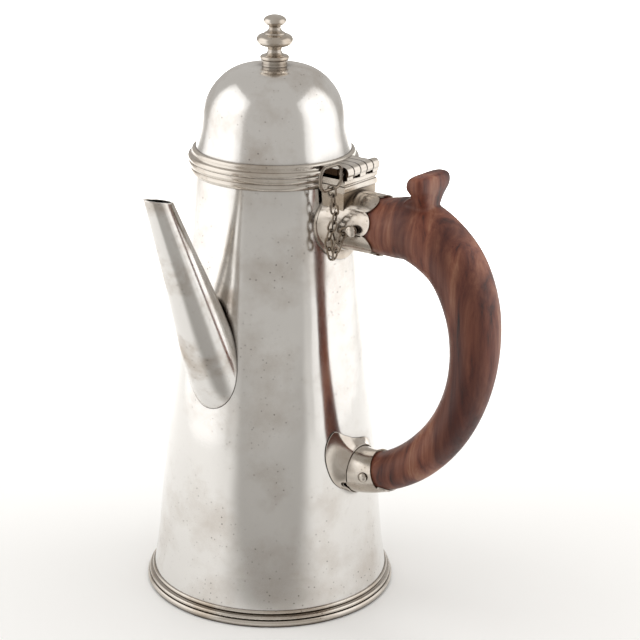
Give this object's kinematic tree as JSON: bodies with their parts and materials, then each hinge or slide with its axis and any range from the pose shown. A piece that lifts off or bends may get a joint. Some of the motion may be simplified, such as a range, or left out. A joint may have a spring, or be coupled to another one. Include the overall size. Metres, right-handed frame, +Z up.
{
  "type": "chocolate pot",
  "caption": "Tapering silver chocolate pot with a side handle of carved wood, a straight spout, and a hinged domed lid with a lift-out finial.",
  "frame": {"origin": "centre of the foot's underside, where the pot rests", "axes": "+Z up along the pot's axis; +X from the axis to the handle and the hinge; -Y from the axis to the spout"},
  "size_m": [0.1597, 0.1277, 0.2391],
  "materials": {
    "silver": "worn polish, scratched, tarnished in the corners",
    "silver_wire": "worn polish",
    "wood": "oiled, streaked, satin"
  },
  "bodies": {
    "pot": {"body_shell": "silver", "base_plate": "silver", "foot_moulding": "silver", "rim_moulding": "silver", "hinge_bracket": "silver", "body_knuckles": "silver", "spout": "silver", "upper_socket_plate": "silver", "upper_socket": "silver", "upper_rivet": "silver", "chain_eye": "silver_wire", "handle": "wood", "lower_socket_bell": "silver", "lower_socket": "silver", "lower_rivet": "silver"},
    "lid": {"lid_dome": "silver", "lid_flange": "silver", "lid_hinge_leaf": "silver", "lid_bezel": "silver", "finial_socket": "silver"},
    "finial_part": {"finial": "silver", "finial_plug": "silver"},
    "pin": {"hinge_pin": "silver_wire"},
    "chain_upper": {"chain_link_01": "silver_wire", "chain_link_02": "silver_wire", "chain_link_03": "silver_wire", "chain_link_04": "silver_wire", "chain_link_05": "silver_wire", "chain_link_06": "silver_wire", "chain_link_07": "silver_wire", "chain_link_08": "silver_wire"},
    "chain_lower": {"chain_link_09": "silver_wire", "chain_link_10": "silver_wire", "chain_link_11": "silver_wire"}
  },
  "joints": [
    {"name": "lid_hinge", "type": "hinge", "parent": "pot", "child": "lid", "pos_m": [0.0418, 0, 0.1846], "axis": [0, 1, 0], "range_deg": [0, 105]},
    {"name": "finial_lift", "type": "slide", "parent": "lid", "child": "finial_part", "axis": [0, 0, 1], "range_m": [0, 0.014]},
    {"name": "hinge_pin_slide", "type": "slide", "parent": "pot", "child": "pin", "axis": [0, -1, 0], "range_m": [0, 0.023]},
    {"name": "chain_upper_swing", "type": "hinge", "parent": "pin", "child": "chain_upper", "pos_m": [0.0418, -0.0178, 0.1801], "axis": [1, 0, 0], "range_deg": [0, 34]},
    {"name": "chain_lower_swing", "type": "hinge", "parent": "pot", "child": "chain_lower", "pos_m": [0.045, -0.01414, 0.16145], "axis": [1, 0, 0], "range_deg": [-53, 0]}
  ],
  "couplings": [
    {"joint": "chain_upper_swing", "follows": "hinge_pin_slide", "rad_per_m": 25.3},
    {"joint": "chain_lower_swing", "follows": "hinge_pin_slide", "rad_per_m": -40.1}
  ]
}
